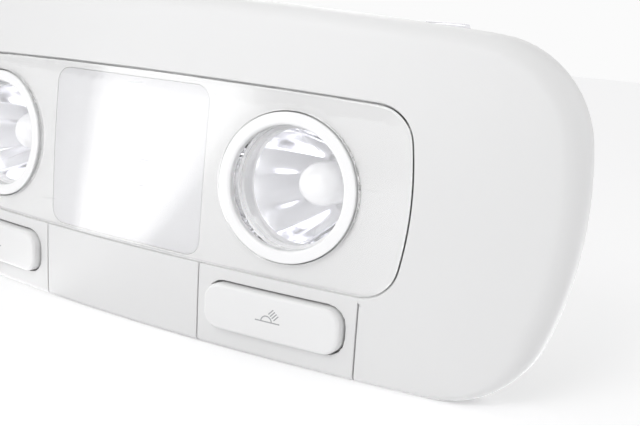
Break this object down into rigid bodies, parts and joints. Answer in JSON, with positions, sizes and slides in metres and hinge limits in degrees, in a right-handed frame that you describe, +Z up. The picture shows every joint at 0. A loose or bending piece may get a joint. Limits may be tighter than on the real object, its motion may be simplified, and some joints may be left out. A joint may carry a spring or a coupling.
{
  "type": "rear seat light",
  "caption": "Crowned car roof lamp with a lens panel, two round reading lights, a frosted centre window and push buttons below, on a clip-in housing.",
  "frame": {"origin": "on the surface the light stands on, below the middle of its width and of its depth", "axes": "+X along the light's length, -Y out of the lenses, +Z up, as the light stands on its lower long edge"},
  "size_m": [0.2186, 0.0436, 0.082],
  "materials": {
    "trim_plastic": "fine satin grain, light grey",
    "button_plastic": "fine satin grain, light grey",
    "clear_cover": "clear and polished",
    "mask_plastic": "painted light grey, seen through the clear panel",
    "frosted_window": "frosted white",
    "white_ring": "polished white",
    "clear_lens": "clear and polished",
    "housing_plastic": "moulded, off-white",
    "white_reflector": "glossy white",
    "bright_reflector": "vacuum-coated, bright",
    "bulb_glass": "clear",
    "socket_plastic": "moulded, off-white",
    "contact_brass": "stamped, satin",
    "black_plastic": "moulded, black",
    "spring_steel": "rolled, bright",
    "zinc_steel": "zinc plated"
  },
  "bodies": {
    "lamp_body": {"bezel": "trim_plastic", "lens_panel": "clear_cover", "lens_mask": "mask_plastic", "window_diffuser": "frosted_window", "lens_ring_left": "white_ring", "lens_ring_right": "white_ring", "reading_lens_left": "clear_lens", "reading_lens_right": "clear_lens", "centre_blank": "trim_plastic", "button_frame_left": "trim_plastic", "button_frame_right": "trim_plastic", "button_spring_left": "spring_steel", "button_spring_right": "spring_steel", "button_switch_left": "black_plastic", "button_switch_right": "black_plastic", "housing": "housing_plastic", "centre_reflector": "white_reflector", "reflector_left": "bright_reflector", "reflector_right": "bright_reflector", "reading_bulb_left": "bulb_glass", "reading_bulb_right": "bulb_glass", "bulb_socket_left": "socket_plastic", "bulb_socket_right": "socket_plastic", "festoon_bulb": "bulb_glass", "feed_rail": "contact_brass", "earth_rail": "contact_brass", "connector": "black_plastic", "connector_pins": "contact_brass", "retaining_clip_left": "spring_steel", "retaining_clip_right": "spring_steel", "housing_screws": "zinc_steel"},
    "button_left": {"button_left": "button_plastic"},
    "button_right": {"button_right": "button_plastic"}
  },
  "joints": [
    {"name": "button_left_press", "type": "slide", "parent": "lamp_body", "child": "button_left", "axis": [0, 1, 0], "range_m": [0, 0.0018], "stiffness_N_per_m": 500, "springref_m": -0.002, "deforming": ["button_spring_left"]},
    {"name": "button_right_press", "type": "slide", "parent": "lamp_body", "child": "button_right", "axis": [0, 1, 0], "range_m": [0, 0.0018], "stiffness_N_per_m": 500, "springref_m": -0.002, "deforming": ["button_spring_right"]}
  ]
}
